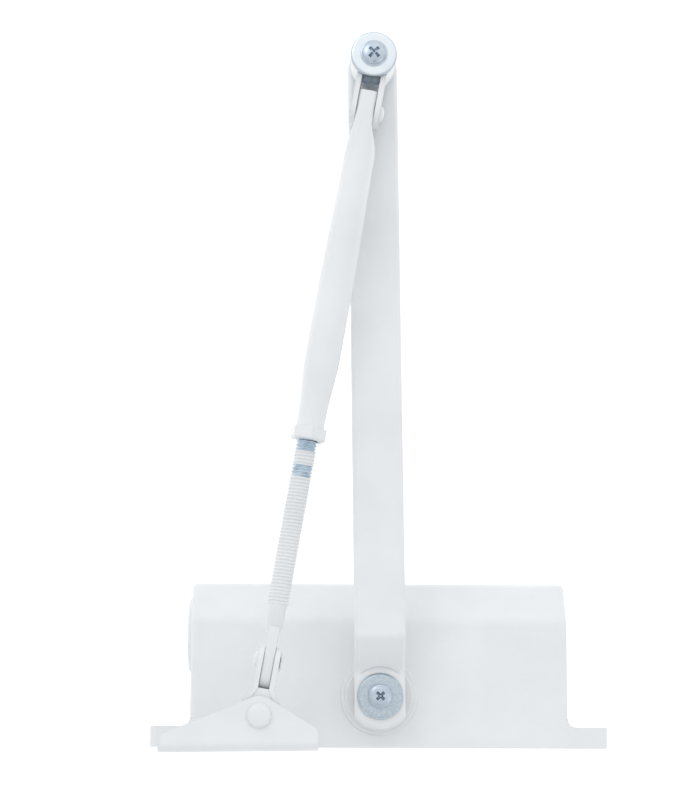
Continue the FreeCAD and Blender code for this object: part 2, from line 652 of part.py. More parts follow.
def make_main_arm():
    """The flat main arm, cranked up beside the spindle."""
    body = new_body("main_arm")
    low, high, thick = size("arm_low"), size("arm_high"), size("arm_thick")
    plan = add_sketch(body, "plan", "XY_Plane", low)
    arm_plan(plan)
    add_pad(body, plan, high + thick - low)
    start, end = size("crank_start"), size("crank_end")
    far, near_end = size("arm_length") + size("arm_width"), -size("arm_width")
    side = add_sketch(body, "side", "XZ_Plane")
    above = [(near_end, low + thick), (start, low + thick), (end, high + thick)]
    above += [(end, high + thick * 2), (near_end, high + thick * 2)]
    draw_polygon(side, above)
    draw_polygon(side, [(start, low), (end, high), (far, high), (far, low - thick), (start, low - thick)])
    add_pocket(body, side, size("arm_width") * 2, midplane=True)
    bends = [(SIZES["crank_start"], SIZES["arm_low"]), (SIZES["crank_end"], SIZES["arm_high"])]
    bends += [(x, z + SIZES["arm_thick"]) for x, z in bends]

    def bend_edge(middle, span):
        return any(near(middle.x, x) and near(middle.z, z) for x, z in bends) and abs(span.y) > 5

    add_rounding(body, "Fillet", size("crank_round"), bend_edge)
    half = SIZES["arm_width"] / 2

    def long_edge(middle, span):
        along_side = near(abs(middle.y), half)
        at_elbow = near(math.hypot(middle.x - SIZES["arm_length"], middle.y), half)
        at_tail = near(math.hypot(middle.x, middle.y), SIZES["arm_tail"])
        return (along_side or at_elbow or at_tail) and math.hypot(span.x, span.y) > 0.01

    add_rounding(body, "Fillet", size("arm_edge"), long_edge)
    spot = add_sketch(body, "spot", "XY_Plane", low + thick)
    draw_circle(spot, size("spotface_radius"))
    add_pocket(body, spot, thick * 2, reverse=True)
    square = add_sketch(body, "square", "XY_Plane", low + thick)
    side_half = size("square_side") / 2
    draw_rectangle(square, -side_half, side_half, -side_half, side_half)
    add_pocket(body, square, thick)
    thread = add_sketch(body, "thread", "XY_Plane", high + thick)
    draw_circle(thread, size("screw_radius"), size("arm_length"), 0)
    add_pocket(body, thread, thick)
    place_in(body, main_arm_frame())


def make_washer(label, frame, low):
    """A flat round washer with a softened upper edge."""
    body = new_body(label)
    bore, rim, thick = size("screw_radius") + 0.2, size(f"{label}_radius"), size(f"{label}_thick")
    edge = size("washer_edge")
    points = [(bore, low), (rim, low), (rim, low + thick - edge), (rim - edge, low + thick)]
    add_turned(body, "profile", points + [(bore, low + thick)])
    place_in(body, frame)


def cut_cross(body, top, span, wide, deep):
    """A cross recess in a screw head, turned by 45 degrees to the sides of the arm."""
    for arm in (45, -45):
        slot = add_sketch(body, f"cross{arm + 45}", "XY_Plane", top)
        half, side = as_size(span) / 2, as_size(wide) / 2
        turn = math.radians(arm)
        corners = []
        for x, y in ((-1, -1), (1, -1), (1, 1), (-1, 1)):
            along, across = half * x, side * y
            corners.append((along * math.cos(turn) - across * math.sin(turn),
                            along * math.sin(turn) + across * math.cos(turn)))
        draw_polygon(slot, corners)
        add_pocket(body, slot, deep)


def make_spindle_screw():
    """The pan-head screw that holds the main arm on the spindle."""
    body = new_body("spindle_screw")
    seat = size("arm_low") + size("arm_thick") + size("spindle_washer_thick")
    shank = size("screw_radius")
    foot = size("square_top") - 14
    points = [(0, foot), (shank, foot), (shank, seat), (4.4, seat), (4.4, seat + 2.4)]
    points += [(4.0, seat + 3.1), (3.2, seat + 3.5), (0, seat + 3.6)]
    add_turned(body, "profile", points)
    cut_cross(body, seat + 3.6, 4.3, 1.15, 2.4)
    place_in(body, main_arm_frame())


def make_elbow_screw():
    """The round-head screw with a collar that holds the elbow together."""
    body = new_body("elbow_screw")
    seat = size("bush_high") + size("elbow_washer_thick")
    shank = size("screw_radius")
    foot = size("arm_high")
    points = [(0, foot), (shank, foot), (shank, seat), (5.1, seat), (5.1, seat + 0.4), (4.5, seat + 0.5)]
    points += [(4.3, seat + 0.9), (3.7, seat + 1.4), (2.6, seat + 1.8), (1.3, seat + 2), (0, seat + 2.1)]
    add_turned(body, "profile", points)
    cut_cross(body, seat + 2.1, 3.8, 1.15, 1.7)
    place_in(body, main_arm_frame(), Vector(SIZES["arm_length"], 0, 0))


def make_elbow_bush():
    """The flanged steel bush that the forearm's yoke turns on."""
    body = new_body("elbow_bush")
    bore, foot = size("screw_radius"), size("arm_high") + size("arm_thick")
    flange, barrel = size("bush_flange"), size("bush_radius")
    step, top = size("bush_flange_high"), size("bush_high")
    points = [(bore, foot), (flange, foot), (flange, step), (barrel, step), (barrel, top), (bore, top)]
    add_turned(body, "profile", points)
    place_in(body, elbow_frame())


# ---------------------------------------------------------------- forearm


def tangent_from(x, y, radius):
    """The point where a line from (x, y) touches a circle about the origin, on the point's side."""
    distance = math.hypot(x, y)
    bearing = math.atan2(y, x)
    opening = math.acos(radius / distance)
    turn = bearing + math.copysign(opening, y)
    return Vector(radius * math.cos(turn), radius * math.sin(turn), 0)


def yoke_side(inner_face, bend, sign):
    """Corner points of one side of the strip: the leg's end, the bend and the touching point.

    Returns them for the outer face and for the inner face, each as three points.
    """
    thick, loop = SIZES["strip_thick"], SIZES["bush_radius"] + SIZES["loop_gap"]
    outer_y = sign * (inner_face + thick)
    outer_touch = tangent_from(bend, outer_y, loop + thick)
    inner_touch = outer_touch * (loop / (loop + thick))
    along = Vector(bend, outer_y, 0) - outer_touch
    reach = (sign * inner_face - inner_touch.y) / along.y
    inner_bend = inner_touch + along * reach
    leg = SIZES["leg_length"]
    outer = [Vector(leg, outer_y, 0), Vector(bend, outer_y, 0), outer_touch]
    inner = [Vector(leg, sign * inner_face, 0), inner_bend, inner_touch]
    return outer, inner


def make_yoke(label, gap, shift, low, high, bend):
    """A strip bent round a pivot into two parallel legs, with a rivet hole through both."""
    body = new_body(label)
    loop = SIZES["bush_radius"] + SIZES["loop_gap"]
    back = -Vector(1, 0, 0)
    top_outer, top_inner = yoke_side(gap / 2 + shift, bend, 1)
    low_outer, low_inner = yoke_side(gap / 2 - shift, bend, -1)
    plan = add_sketch(body, "plan", "XY_Plane", low)
    for outer, inner in ((top_outer, top_inner), (low_outer, low_inner)):
        plan.addGeometry(Part.LineSegment(outer[0], outer[1]))
        plan.addGeometry(Part.LineSegment(outer[1], outer[2]))
        plan.addGeometry(Part.LineSegment(inner[0], inner[1]))
        plan.addGeometry(Part.LineSegment(inner[1], inner[2]))
        plan.addGeometry(Part.LineSegment(inner[0], outer[0]))
    plan.addGeometry(Part.Arc(top_outer[2], back * (loop + SIZES["strip_thick"]), low_outer[2]))
    plan.addGeometry(Part.Arc(top_inner[2], back * loop, low_inner[2]))
    add_pad(body, plan, high - low)
    leg = SIZES["leg_length"]

    def leg_corner(middle, span):
        return near(middle.x, leg) and near(abs(span.y), SIZES["strip_thick"])

    add_rounding(body, "Fillet", size("leg_corner"), leg_corner)
    rivet = add_sketch(body, "rivet", "XZ_Plane")
    draw_circle(rivet, size("rivet_radius"), size("rivet_distance"), (low + high) / 2)
    add_pocket(body, rivet, 40, midplane=True)
    return body


def rivet_head(face, head, dome):
    """The outline of a round rivet head, from the shank over the head to its middle."""
    outline = [(size("rivet_radius"), face), (head, face), (head * 0.97, face + dome * 0.3)]
    outline += [(head * 0.8, face + dome * 0.7), (head * 0.45, face + dome * 0.95)]
    return outline + [(0, face + dome)]


def rivet_stub(face):
    """The plain end of a rivet's shank, a little proud of the leg."""
    end = face + size("rivet_stub")
    return [(size("rivet_radius"), end), (0, end)]


def rivet_low_head(face):
    """A low, wide head that stands a little off the leg."""
    return rivet_head(face + size("low_head_lift"), size("low_head"), size("low_head_rise"))


def make_rivet(label, gap, frame, centre, upper_end):
    """A rivet across a yoke's legs, its own axis along Z: a full head below, a chosen end above."""
    body = new_body(label)
    face = as_size(gap) / 2 + size("strip_thick")
    full = rivet_head(face, size("rivet_head"), size("rivet_dome"))
    lower = [(radius, -height) for radius, height in reversed(full)]
    add_turned(body, "profile", lower + upper_end(face))
    place_in(body, frame, centre, Rotation(Vector(1, 0, 0), 90))


def rounded_section(sketch, across, up, corner, shift):
    """A rectangle with round corners, centred on the section's axis and moved sideways."""
    flat_x, flat_y = across - corner, up - corner
    diagonal = corner * math.sqrt(0.5)
    for start in range(4):
        turn = Rotation(Vector(0, 0, 1), 90 * start)
        wide, tall = (flat_x, flat_y) if start % 2 == 0 else (flat_y, flat_x)
        far = wide + corner
        next_top = tall + corner
        points = [Vector(far, -tall, 0), Vector(far, tall, 0)]
        points += [Vector(wide + diagonal, tall + diagonal, 0), Vector(wide, next_top, 0)]
        side, top, middle, end = [turn.multVec(point) + Vector(shift, 0, 0) for point in points]
        sketch.addGeometry(Part.LineSegment(side, top))
        sketch.addGeometry(Part.Arc(top, middle, end))


def ease(value, start, length):
    """A smooth step from 0 to 1 that begins at start and takes length."""
    share = min(max((value - start) / length, 0), 1)
    return share * share * (3 - 2 * share)


def tube_section(along):
    """Half width, half height, corner radius and sideways shift of the tube at a distance."""
    spread = ease(along, SIZES["flat_end"], SIZES["spread_length"])
    rounding = ease(along, SIZES["flat_end"] + 7, SIZES["round_length"])
    neck = SIZES["neck_depth"] * ease(along, SIZES["neck_start"], SIZES["neck_length"])
    flat, spread_half, full = SIZES["tip_half"], SIZES["spread_half"], SIZES["tube_radius"]
    across = flat + (spread_half - flat) * spread + (full - spread_half) * rounding - neck
    up = SIZES["tip_high_half"] + (full - SIZES["tip_high_half"]) * rounding - neck
    corner = 1.6 + (min(across, up) - 0.1 - 1.6) * spread
    shift = SIZES["elbow_leg_shift"] + (SIZES["rod_shift"] - SIZES["elbow_leg_shift"]) * spread
    return across, up, corner, shift


def make_forearm_tube():
    """The forearm's tube: flattened where it is riveted to the elbow, round, then necked down."""
    body = new_body("forearm_tube")
    start, end = SIZES["tube_start"], SIZES["tube_end"]
    steps = 32
    sections = []
    for number in range(steps + 1):
        along = start + (end - start) * number / steps
        section = add_sketch(body, f"section{number}", "YZ_Plane", as_size(along))
        rounded_section(section, *tube_section(along))
        sections.append(section)
    loft = body.newObject("PartDesign::AdditiveLoft", "tube_loft")
    loft.Profile = sections[0]
    loft.Sections = sections[1:]
    loft.Ruled = False
    doc.recompute()
    bore = add_sketch(body, "bore", "YZ_Plane", size("tube_end"))
    draw_circle(bore, size("tube_bore"), size("rod_shift"), 0)
    add_pocket(body, bore, size("tube_end") - size("tube_bore_start"))
    rivet = add_sketch(body, "rivet", "XZ_Plane")
    draw_circle(rivet, size("rivet_radius") + size("rivet_gap"), size("rivet_distance"), 0)
    add_pocket(body, rivet, 40, midplane=True)
    place_in(body, elbow_frame(), Vector(0, 0, SIZES["rod_high"]))


def make_lock_nut():
    """The thin hexagon nut that locks the rod in the tube."""
    body = new_body("lock_nut")
    flats, thick = size("nut_flats"), size("nut_thick")
    plan = add_sketch(body, "plan", "XY_Plane", size("tube_end"))
    draw_hexagon(plan, flats, SIZES["nut_turn"])
    add_pad(body, plan, thick)
    low, high = SIZES["tube_end"], SIZES["tube_end"] + SIZES["nut_thick"]
    add_rounding(body, "Chamfer", 0.5, lambda middle, span: near(middle.z, low) or near(middle.z, high))
    bore = add_sketch(body, "bore", "XY_Plane", size("tube_end") + thick)
    draw_circle(bore, size("tube_bore"))
    add_pocket(body, bore, thick)
    place_in(body, elbow_frame(), Vector(0, SIZES["rod_shift"], SIZES["rod_high"]), ALONG_X)


def make_threaded_rod():
    """The threaded rod: the thread as a plain cylinder, a neck and a flattened end for the shoe.

    The far end's rounding is a guess, chosen so that the shoe can tilt without touching it.
    """
    body = new_body("threaded_rod")
    crest, plain = size("rod_radius"), size("rod_plain")
    start, thread_end, flat_start = size("rod_start"), size("thread_end"), size("rod_flat_start")
    neck_end, taper = size("rod_neck_end"), size("rod_neck_taper")
    points = [(0, start), (crest - 0.7, start), (crest, start + 0.7), (crest, thread_end - 0.5)]
    points += [(plain, thread_end), (plain, neck_end - taper)]
    points += [(size("rod_flat_thick") / 2, neck_end), (0, neck_end)]
    add_turned(body, "profile", points)
    flat = add_sketch(body, "flat", "XY_Plane", flat_start)
    half, tall, shift = size("rod_flat_thick") / 2, size("rod_flat_height") / 2, size("rod_flat_shift")
    draw_rectangle(flat, -tall, tall, shift - half, shift + half)
    add_pad(body, flat, size("rod_flat_end") - flat_start)

    def flat_corner(middle, span):
        return near(middle.z, SIZES["rod_flat_end"]) and abs(span.y) > 3

    add_rounding(body, "Fillet", size("rod_flat_corner"), flat_corner)
    rivet = add_sketch(body, "rivet", "XZ_Plane")
    distance = size("forearm_length") - size("rivet_distance")
    draw_circle(rivet, size("rivet_radius") + size("rivet_gap"), 0, distance)
    add_pocket(body, rivet, 40, midplane=True)
    place_in(body, elbow_frame(), Vector(0, SIZES["rod_shift"], SIZES["rod_high"]), ALONG_X)


# ---------------------------------------------------------------- shoe


def shoe_yoke_frame():
    """The shoe yoke's own frame: the shoe's pivot, with X back towards the elbow."""
    pivot = Vector(SIZES["forearm_length"], SIZES["shoe_axis_shift"], 0)
    return elbow_frame().multiply(Placement(pivot, Rotation(Vector(0, 0, 1), 180)))


def spacer_nose_outline():
    """The nose from above: it widens beside the legs' inner faces, a small gap away from them."""
    half = SIZES["shoe_gap"] / 2 - SIZES["spacer_gap"]
    shift = leg_shift_at_shoe().value
    fit = 1 - SIZES["spacer_gap"] / (SIZES["bush_radius"] + SIZES["loop_gap"])
    outline = []
    for sign in (1, -1):
        inner = yoke_side(half + sign * shift, SHOE_BEND, sign)[1]
        side = [(SIZES["spacer_reach"], inner[0].y), (inner[1].x, inner[1].y)]
        side += [(inner[2].x * fit, inner[2].y * fit)]
        outline += side if sign == 1 else side[::-1]
    return outline


def make_shoe_spacer():
    """The bush inside the shoe's yoke, with a nose that fills the strip between its legs."""
    body = new_body("shoe_spacer")
    low, height = size("shoe_yoke_low"), size("shoe_yoke_high") - size("shoe_yoke_low")
    plan = add_sketch(body, "plan", "XY_Plane", low)
    draw_circle(plan, size("bush_radius"))
    add_pad(body, plan, height)
    nose = add_sketch(body, "nose", "XY_Plane", low)
    draw_polygon(nose, spacer_nose_outline())
    add_pad(body, nose, height - size("running_gap"))
    bore = add_sketch(body, "bore", "XY_Plane", size("shoe_yoke_high"))
    draw_circle(bore, size("pivot_radius") + size("running_gap"))
    add_pocket(body, bore, height)
    place_in(body, shoe_yoke_frame())


def leg_shift_at_shoe():
    """How far the rod's flat lies beside the shoe's pivot, seen in the shoe yoke's frame."""
    return size("shoe_axis_shift") - size("rod_shift") - size("rod_flat_shift")


def shoe_plan(sketch):
    """The shoe's plate from above: a round apex over the pivot and a slope down to each end."""
    apex, base = SIZES["apex_radius"], SIZES["flange_out"]
    left, left_y = SIZES["shoe_left"], SIZES["shoe_end_left"]
    right, right_y = -SIZES["shoe_right"], SIZES["shoe_end_right"]
    touches = []
    for x, y in ((left, left_y), (right, right_y)):
        distance, bearing = math.hypot(x, y), math.atan2(y, x)
        opening = math.acos(apex / distance)
        turn = bearing - math.copysign(opening, x)
        touches.append(Vector(apex * math.cos(turn), apex * math.sin(turn), 0))
    corners = [touches[0], Vector(left, left_y, 0), Vector(left, base, 0)]
    corners += [Vector(right, base, 0), Vector(right, right_y, 0), touches[1]]
    for start, end in zip(corners, corners[1:]):
        sketch.addGeometry(Part.LineSegment(start, end))
    sketch.addGeometry(Part.Arc(touches[1], Vector(0, -apex, 0), touches[0]))


def make_shoe_bracket():
    """The folded shoe: a sloped plate over the pivot and a flange with two screw holes."""
    body = new_body("shoe_bracket")
    low, thick = size("plate_low"), size("plate_thick")
    plan = add_sketch(body, "plan", "XY_Plane", low)
    shoe_plan(plan)
    add_pad(body, plan, thick)
    ends = [(SIZES["shoe_left"], SIZES["shoe_end_left"]), (-SIZES["shoe_right"], SIZES["shoe_end_right"])]

    def plate_corner(middle, span):
        return any(near(middle.x, x) and near(middle.y, y) for x, y in ends)

    add_rounding(body, "Fillet", size("shoe_corner"), plate_corner)
    out, high = size("flange_out"), low + thick
    side = add_sketch(body, "side", "XY_Plane", size("flange_low"))
    draw_rectangle(side, -size("flange_right"), size("flange_left"), out - thick, out)
    add_pad(body, side, high - size("flange_low"))
    top = SIZES["plate_low"] + SIZES["plate_thick"]

    def bend_edge(middle, span):
        return near(middle.z, top) and near(middle.y, SIZES["flange_out"]) and abs(span.x) > 0.1

    def foot_corner(middle, span):
        return near(middle.z, SIZES["flange_low"]) and abs(span.y) > 2 and abs(span.x) < 0.1

    add_rounding(body, "Fillet", size("bend_round"), bend_edge)
    add_rounding(body, "Fillet", 3, foot_corner)
    holes = add_sketch(body, "holes", "XZ_Plane")
    for across in (-0.5, 0.5):
        x = size("shoe_hole_x") + size("shoe_hole_spacing") * across
        draw_circle(holes, size("shoe_hole_radius"), x, size("shoe_hole_high"))
    add_pocket(body, holes, 30)
    pivot = add_sketch(body, "pivot", "XY_Plane", high)
    draw_circle(pivot, size("pivot_radius"))
    add_pocket(body, pivot, thick)
    place_in(body, shoe_frame())


def make_pivot_rivet():
    """The rivet that the shoe turns on, with a dome above the plate and a foot under the yoke."""
    body = new_body("pivot_rivet")
    shank, head, dome = size("pivot_radius"), size("pivot_head"), size("pivot_dome")
    face = size("plate_low") + size("plate_thick")
    under = size("shoe_yoke_low") - 0.3
    foot = size("pivot_foot")
    points = [(0, under - 1.8), (foot - 0.8, under - 1.8), (foot, under - 0.8), (foot, under)]
    points += [(shank, under)]
    points += [(shank, face), (head, face)]
    steps = 6
    for step in range(steps + 1):
        angle = math.radians(90 * step / steps)
        across, rise = math.cos(angle), 0.3 + 0.7 * math.sin(angle)
        points.append((head * across if step < steps else 0, face + dome * rise))
    add_turned(body, "profile", points)
    place_in(body, shoe_frame())


# ---------------------------------------------------------------- assembly


def make_closer():
    """Every piece, from the mounting face to the shoe."""
    cylinder = SIZES["cylinder_depth"]
    make_housing()
    make_end_plug()
    plug_face = size("body_length") / 2 - size("plug_length")
    bore = size("cylinder_radius")
    make_ring("plug_seal", bore - 1.7, bore, plug_face + 2.5, plug_face + 4.5, cylinder, along_x=True)
    make_spring_seat()
    make_spindle_ends()
    make_lower_cap()
    make_valve("sweep_valve", 1)
    make_valve("latch_valve", -1)
    make_piston()
    seal_left = size("piston_left") + 5
    seal_right = seal_left + size("seal_width")
    lip = size("cylinder_radius") - size("running_gap")
    make_ring("piston_seal", size("seal_root"), lip, seal_left, seal_right, cylinder, along_x=True)
    make_check_valve()
    make_spring()
    make_pinion_shaft()
    make_main_arm()
    arm_face = size("arm_low") + size("arm_thick")
    make_washer("spindle_washer", main_arm_frame(), arm_face)
    make_spindle_screw()
    make_elbow_bush()
    make_washer("elbow_washer", elbow_frame(), size("bush_high"))
    make_elbow_screw()
    yoke = make_yoke("elbow_yoke", SIZES["elbow_gap"], SIZES["elbow_leg_shift"],
                     size("yoke_low"), size("yoke_high"), ELBOW_BEND)
    place_in(yoke, elbow_frame())
    rivet = Vector(SIZES["rivet_distance"], SIZES["elbow_leg_shift"], SIZES["rod_high"])
    make_rivet("elbow_rivet", size("elbow_gap"), elbow_frame(), rivet, rivet_stub)
    make_forearm_tube()
    make_lock_nut()
    make_threaded_rod()
    shift = leg_shift_at_shoe().value
    yoke = make_yoke("shoe_yoke", SIZES["shoe_gap"], shift,
                     size("shoe_yoke_low"), size("shoe_yoke_high"), SHOE_BEND)
    place_in(yoke, shoe_yoke_frame())
    rivet = Vector(SIZES["rivet_distance"], shift, SIZES["rod_high"])
    make_rivet("shoe_rivet", size("shoe_gap"), shoe_yoke_frame(), rivet, rivet_low_head)
    make_shoe_spacer()
    make_shoe_bracket()
    make_pivot_rivet()


def check_and_write():
    """Stop on any failed object or bad shape, then write one STEP file for each piece."""
    doc.recompute()
    for item in doc.Objects:
        if "Invalid" in item.State or "Error" in item.State:
            raise RuntimeError(f"{item.Name} failed: {item.State}")
    for part in EVERY_PART:
        if part.Shape.isNull() or not part.Shape.isValid():
            raise RuntimeError(f"{part.Label} has a bad shape")
        part.Shape.exportStep(f"parts/{part.Label}.step")
        print(f"{part.Label:20s} solids {len(part.Shape.Solids)} volume {part.Shape.Volume:10.1f} mm3")


make_closer()
check_and_write()
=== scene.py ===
import json
import math

import bmesh
import bpy
from mathutils import Matrix, Vector


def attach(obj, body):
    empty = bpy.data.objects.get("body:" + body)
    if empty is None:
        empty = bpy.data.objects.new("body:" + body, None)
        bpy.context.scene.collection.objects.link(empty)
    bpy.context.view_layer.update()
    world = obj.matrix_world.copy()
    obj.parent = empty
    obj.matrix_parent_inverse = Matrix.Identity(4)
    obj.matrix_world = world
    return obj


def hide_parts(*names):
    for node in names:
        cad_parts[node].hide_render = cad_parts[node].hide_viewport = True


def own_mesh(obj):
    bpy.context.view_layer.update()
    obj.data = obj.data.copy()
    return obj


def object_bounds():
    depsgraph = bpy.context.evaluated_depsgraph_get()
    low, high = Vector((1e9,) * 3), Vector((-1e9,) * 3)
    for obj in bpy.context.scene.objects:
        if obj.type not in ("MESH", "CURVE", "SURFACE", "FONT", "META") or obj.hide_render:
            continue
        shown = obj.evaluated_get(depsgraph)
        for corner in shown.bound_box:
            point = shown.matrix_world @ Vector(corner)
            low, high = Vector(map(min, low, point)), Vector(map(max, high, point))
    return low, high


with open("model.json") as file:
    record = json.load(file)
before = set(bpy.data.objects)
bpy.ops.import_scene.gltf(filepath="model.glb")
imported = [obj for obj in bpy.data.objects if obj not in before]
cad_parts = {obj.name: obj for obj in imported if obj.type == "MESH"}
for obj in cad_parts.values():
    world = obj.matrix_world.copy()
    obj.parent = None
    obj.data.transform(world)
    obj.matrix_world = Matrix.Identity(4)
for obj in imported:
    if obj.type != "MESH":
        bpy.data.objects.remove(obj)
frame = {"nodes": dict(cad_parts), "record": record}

cad_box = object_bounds()
MM = 0.001

# The arm's geometry at rest, as the CAD has it (millimetres, with angles in radians).
SPINDLE = Vector((0, -19, 0))
MAIN_ARM_LEAN = math.radians(0.89)
FOREARM_LEAN = math.radians(9.85)
ARM_LENGTH = 238
ELBOW = SPINDLE + Vector((math.sin(MAIN_ARM_LEAN), -math.cos(MAIN_ARM_LEAN), 0)) * ARM_LENGTH
ROD_HIGH, ROD_SHIFT = 49.4, 1.29
SCREW_RADIUS, WASHER_BORE = 3.0, 3.2
ARM_FACE, SPINDLE_WASHER_RADIUS, SPINDLE_SEAT = 30.0, 8.6, 31.6
BUSH_FOOT, BUSH_STEP, BUSH_TOP = 40.0, 42.0, 56.8
BUSH_FLANGE, BUSH_RADIUS = 7.3, 6.0
ELBOW_WASHER_RADIUS, ELBOW_SEAT = 8.7, 59.3

# How the surfaces look: the paint's softened edges and its two grains of orange peel (metres).
EDGE_ROUNDING, FINE_PEEL, BROAD_PEEL = 0.00035, 0.00002, 0.00004

# Faces that meet at more than these angles keep a sharp edge.
TURNED_SHARP, CUT_SHARP = math.radians(32), math.radians(40)


# ---------------------------------------------------------------- materials


class Nodes:
    """A short way to make a material's nodes and link them."""

    def __init__(self, name):
        self.material = bpy.data.materials.new(name)
        self.material.use_nodes = True
        self.tree = self.material.node_tree
        self.shader = self.tree.nodes["Principled BSDF"]
        self.place = self.add("ShaderNodeTexCoord").outputs["Object"]

    def add(self, kind, **settings):
        node = self.tree.nodes.new(kind)
        for key, value in settings.items():
            setattr(node, key, value)
        return node

    def link(self, source, target):
        self.tree.links.new(source, target)

    def noise(self, scale, detail=3.0, roughness=0.5):
        node = self.add("ShaderNodeTexNoise")
        node.inputs["Scale"].default_value = scale
        node.inputs["Detail"].default_value = detail
        node.inputs["Roughness"].default_value = roughness
        self.link(self.place, node.inputs["Vector"])
        return node.outputs["Fac"]

    def ramp(self, value, low, high, first, second):
        node = self.add("ShaderNodeValToRGB")
        ends = node.color_ramp.elements
        ends[0].position, ends[1].position = low, high
        ends[0].color, ends[1].color = (*first, 1), (*second, 1)
        self.link(value, node.inputs["Fac"])
        return node.outputs["Color"]

    def mottle(self, scale, detail, dark, light):
        """Two colours that run into each other in soft patches."""
        return self.ramp(self.noise(scale, detail), 0.3, 0.7, dark, light)

    def spread(self, value, low, high):
        node = self.add("ShaderNodeMapRange")
        node.inputs["To Min"].default_value = low
        node.inputs["To Max"].default_value = high
        self.link(value, node.inputs["Value"])
        return node.outputs["Result"]

    def math(self, operation, first, second):
        node = self.add("ShaderNodeMath", operation=operation)
        for socket, value in zip(node.inputs, (first, second)):
            if isinstance(value, (int, float)):
                socket.default_value = value
            else:
                self.link(value, socket)
        return node.outputs[0]

    def mix(self, amount, first, second):
        node = self.add("ShaderNodeMix", data_type="RGBA")
        self.link(amount, node.inputs["Factor"])
        self.link(first, node.inputs["A"])
        self.link(second, node.inputs["B"])
        return node.outputs["Result"]

    def soft_edges(self, radius):
        """The surface's direction with its sharp edges rounded over by a radius in metres."""
        node = self.add("ShaderNodeBevel", samples=4)
        node.inputs["Radius"].default_value = radius
        return node.outputs["Normal"]

    def bump(self, height, distance, strength=1.0, before=None):
        node = self.add("ShaderNodeBump")
        node.inputs["Distance"].default_value = distance
        node.inputs["Strength"].default_value = strength
        self.link(height, node.inputs["Height"])
        if before:
            self.link(before, node.inputs["Normal"])
        return node.outputs["Normal"]


def white_paint(name, dark, light, fine_peel=FINE_PEEL):
    """Satin powder coat: a little uneven in tone, with fine orange peel and rounded edges."""
    n = Nodes(name)
    n.link(n.mottle(45, 4, dark, light), n.shader.inputs["Base Color"])
    n.link(n.spread(n.noise(900, 2), 0.36, 0.5), n.shader.inputs["Roughness"])
    peel = n.bump(n.noise(1300, 2, 0.45), fine_peel, before=n.soft_edges(EDGE_ROUNDING))
    n.link(n.bump(n.noise(220, 2), BROAD_PEEL, 0.5, peel), n.shader.inputs["Normal"])
    n.shader.inputs["Specular IOR Level"].default_value = 0.45
    return n


def metal(name, dark, light, rough, grain, bump=0.00001, scale=700):
    """Bare or plated metal: mottled in tone and roughness."""
    n = Nodes(name)
    n.link(n.ramp(n.noise(scale, 5, 0.65), 0.32, 0.68, dark, light), n.shader.inputs["Base Color"])
    n.link(n.spread(n.noise(grain, 3, 0.6), rough[0], rough[1]), n.shader.inputs["Roughness"])
    n.link(n.bump(n.noise(grain, 3, 0.6), bump), n.shader.inputs["Normal"])
    n.shader.inputs["Metallic"].default_value = 1.0
    return n


def soft_material(name, dark, light, rough, scale, bump):
    """Rubber or plastic: moulded, with a faint grain."""
    n = Nodes(name)
    n.link(n.mottle(scale / 6, 3, dark, light), n.shader.inputs["Base Color"])
    n.link(n.spread(n.noise(scale, 2), rough[0], rough[1]), n.shader.inputs["Roughness"])
    n.link(n.bump(n.noise(scale, 3), bump), n.shader.inputs["Normal"])
    return n


BARE_BANDS = ((146.0, 151.4), (156.5, 160.9))
BAND_RAGGED = 0.5


def banded_paint():
    """Painted thread with two bands left bare."""
    n = white_paint("white_paint_rod", (0.765, 0.78, 0.79), (0.82, 0.835, 0.845))
    along = n.add("ShaderNodeSeparateXYZ")
    n.link(n.place, along.inputs[0])
    ragged = n.math("MULTIPLY", n.math("SUBTRACT", n.noise(900, 2), 0.5), BAND_RAGGED * MM)
    x = n.math("ADD", along.outputs["X"], ragged)
    bands = []
    for low, high in BARE_BANDS:
        past_low = n.math("GREATER_THAN", x, low * MM)
        bands.append(n.math("MULTIPLY", past_low, n.math("LESS_THAN", x, high * MM)))
    bare = n.math("ADD", *bands)
    paint = n.shader.inputs["Base Color"].links[0].from_socket
    zinc = n.mottle(420, 3, (0.48, 0.585, 0.67), (0.70, 0.785, 0.845))
    n.link(n.mix(bare, paint, zinc), n.shader.inputs["Base Color"])
    n.link(bare, n.shader.inputs["Metallic"])
    return n


MATERIALS = {
    "housing_paint": white_paint("housing_paint", (0.785, 0.80, 0.81), (0.83, 0.845, 0.855), 0.00003),
    "white_paint": white_paint("white_paint", (0.775, 0.79, 0.80), (0.825, 0.84, 0.85)),
    "zinc_steel": metal("zinc_steel", (0.50, 0.58, 0.66), (0.66, 0.74, 0.81), (0.28, 0.42), 1400),
    "plain_steel": metal("plain_steel", (0.30, 0.31, 0.32), (0.48, 0.49, 0.50), (0.25, 0.45), 900),
    "bearing_steel": metal("bearing_steel", (0.50, 0.51, 0.52), (0.64, 0.65, 0.66), (0.12, 0.25), 1500),
    "spring_steel": metal("spring_steel", (0.16, 0.17, 0.18), (0.30, 0.31, 0.33), (0.30, 0.50), 1200),
    "cast_piston": metal("cast_piston", (0.16, 0.16, 0.17), (0.30, 0.30, 0.31),
                         (0.40, 0.65), 700, 0.00004),
    "valve_brass": metal("valve_brass", (0.55, 0.40, 0.16), (0.74, 0.60, 0.30), (0.20, 0.38), 1200),
    "seal_rubber": soft_material("seal_rubber", (0.02, 0.02, 0.022), (0.04, 0.04, 0.043),
                                 (0.5, 0.7), 1400, 0.00002),
    "cap_plastic": soft_material("cap_plastic", (0.78, 0.79, 0.80), (0.83, 0.84, 0.85),
                                 (0.38, 0.5), 1600, 0.00001),
}


